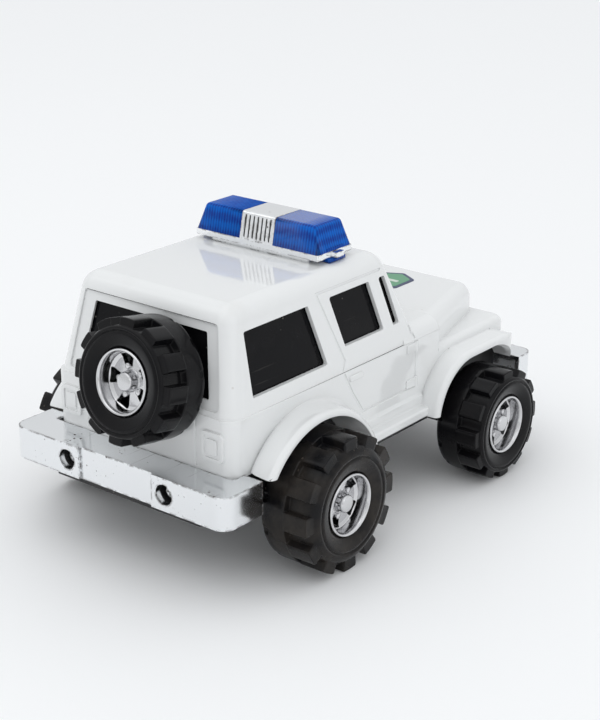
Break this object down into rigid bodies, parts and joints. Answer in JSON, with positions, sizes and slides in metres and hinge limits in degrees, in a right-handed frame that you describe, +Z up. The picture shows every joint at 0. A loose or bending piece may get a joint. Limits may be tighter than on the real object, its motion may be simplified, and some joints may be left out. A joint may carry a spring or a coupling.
{
  "type": "toy police car",
  "caption": "White plastic toy off-roader with blue roof light bar, chrome bumpers and rims, chunky black tyres and a spare wheel on the tail.",
  "frame": {"origin": "on the ground under the middle of the overall length and width", "axes": "+X is the car's front, +Y its left side, +Z up"},
  "size_m": [0.1994, 0.1332, 0.1103],
  "materials": {
    "white_plastic": "glossy moulded white, slightly cool, with light handling marks",
    "black_plastic": "semi-gloss moulded black with dust and fine scratches",
    "chrome_plating": "vacuum-metallised plastic, chipped and worn brown at edges",
    "blue_lens": "transparent blue plastic with fine upright flutes",
    "tyre_black": "satin black moulded vinyl with dusty sidewalls",
    "axle_steel": "drawn wire",
    "screw_steel": "dull zinc",
    "sticker": "printed paper under film, green with dark blue border"
  },
  "bodies": {
    "car": {"body_shell": "white_plastic", "window_liner": "black_plastic", "chassis": "black_plastic", "rear_bumper": "chrome_plating", "front_bumper": "chrome_plating", "rear_bumper_screws": "screw_steel", "front_bumper_screws": "screw_steel", "body_screws": "screw_steel", "grille": "chrome_plating", "light_bar_base": "chrome_plating", "left_lens": "blue_lens", "right_lens": "blue_lens", "light_bar_screws": "screw_steel", "bonnet_badge": "sticker", "spare_spigot": "black_plastic", "spare_screw": "screw_steel"},
    "rear_wheels": {"rear_axle": "axle_steel", "rear_left_rim": "chrome_plating", "rear_right_rim": "chrome_plating", "rear_left_tyre": "tyre_black", "rear_right_tyre": "tyre_black"},
    "front_wheels": {"front_axle": "axle_steel", "front_left_rim": "chrome_plating", "front_right_rim": "chrome_plating", "front_left_tyre": "tyre_black", "front_right_tyre": "tyre_black"},
    "spare_wheel": {"spare_rim": "chrome_plating", "spare_tyre": "tyre_black"}
  },
  "joints": [
    {"name": "rear_axle_spin", "type": "hinge", "parent": "car", "child": "rear_wheels", "pos_m": [-0.04303, 0, 0.0248], "axis": [0, 1, 0], "continuous": true},
    {"name": "front_axle_spin", "type": "hinge", "parent": "car", "child": "front_wheels", "pos_m": [0.05697, 0, 0.0218], "axis": [0, 1, 0], "continuous": true},
    {"name": "spare_spin", "type": "hinge", "parent": "car", "child": "spare_wheel", "pos_m": [-0.07554, -0.009, 0.0686], "axis": [-0.9833, 0, 0.1822], "continuous": true}
  ]
}
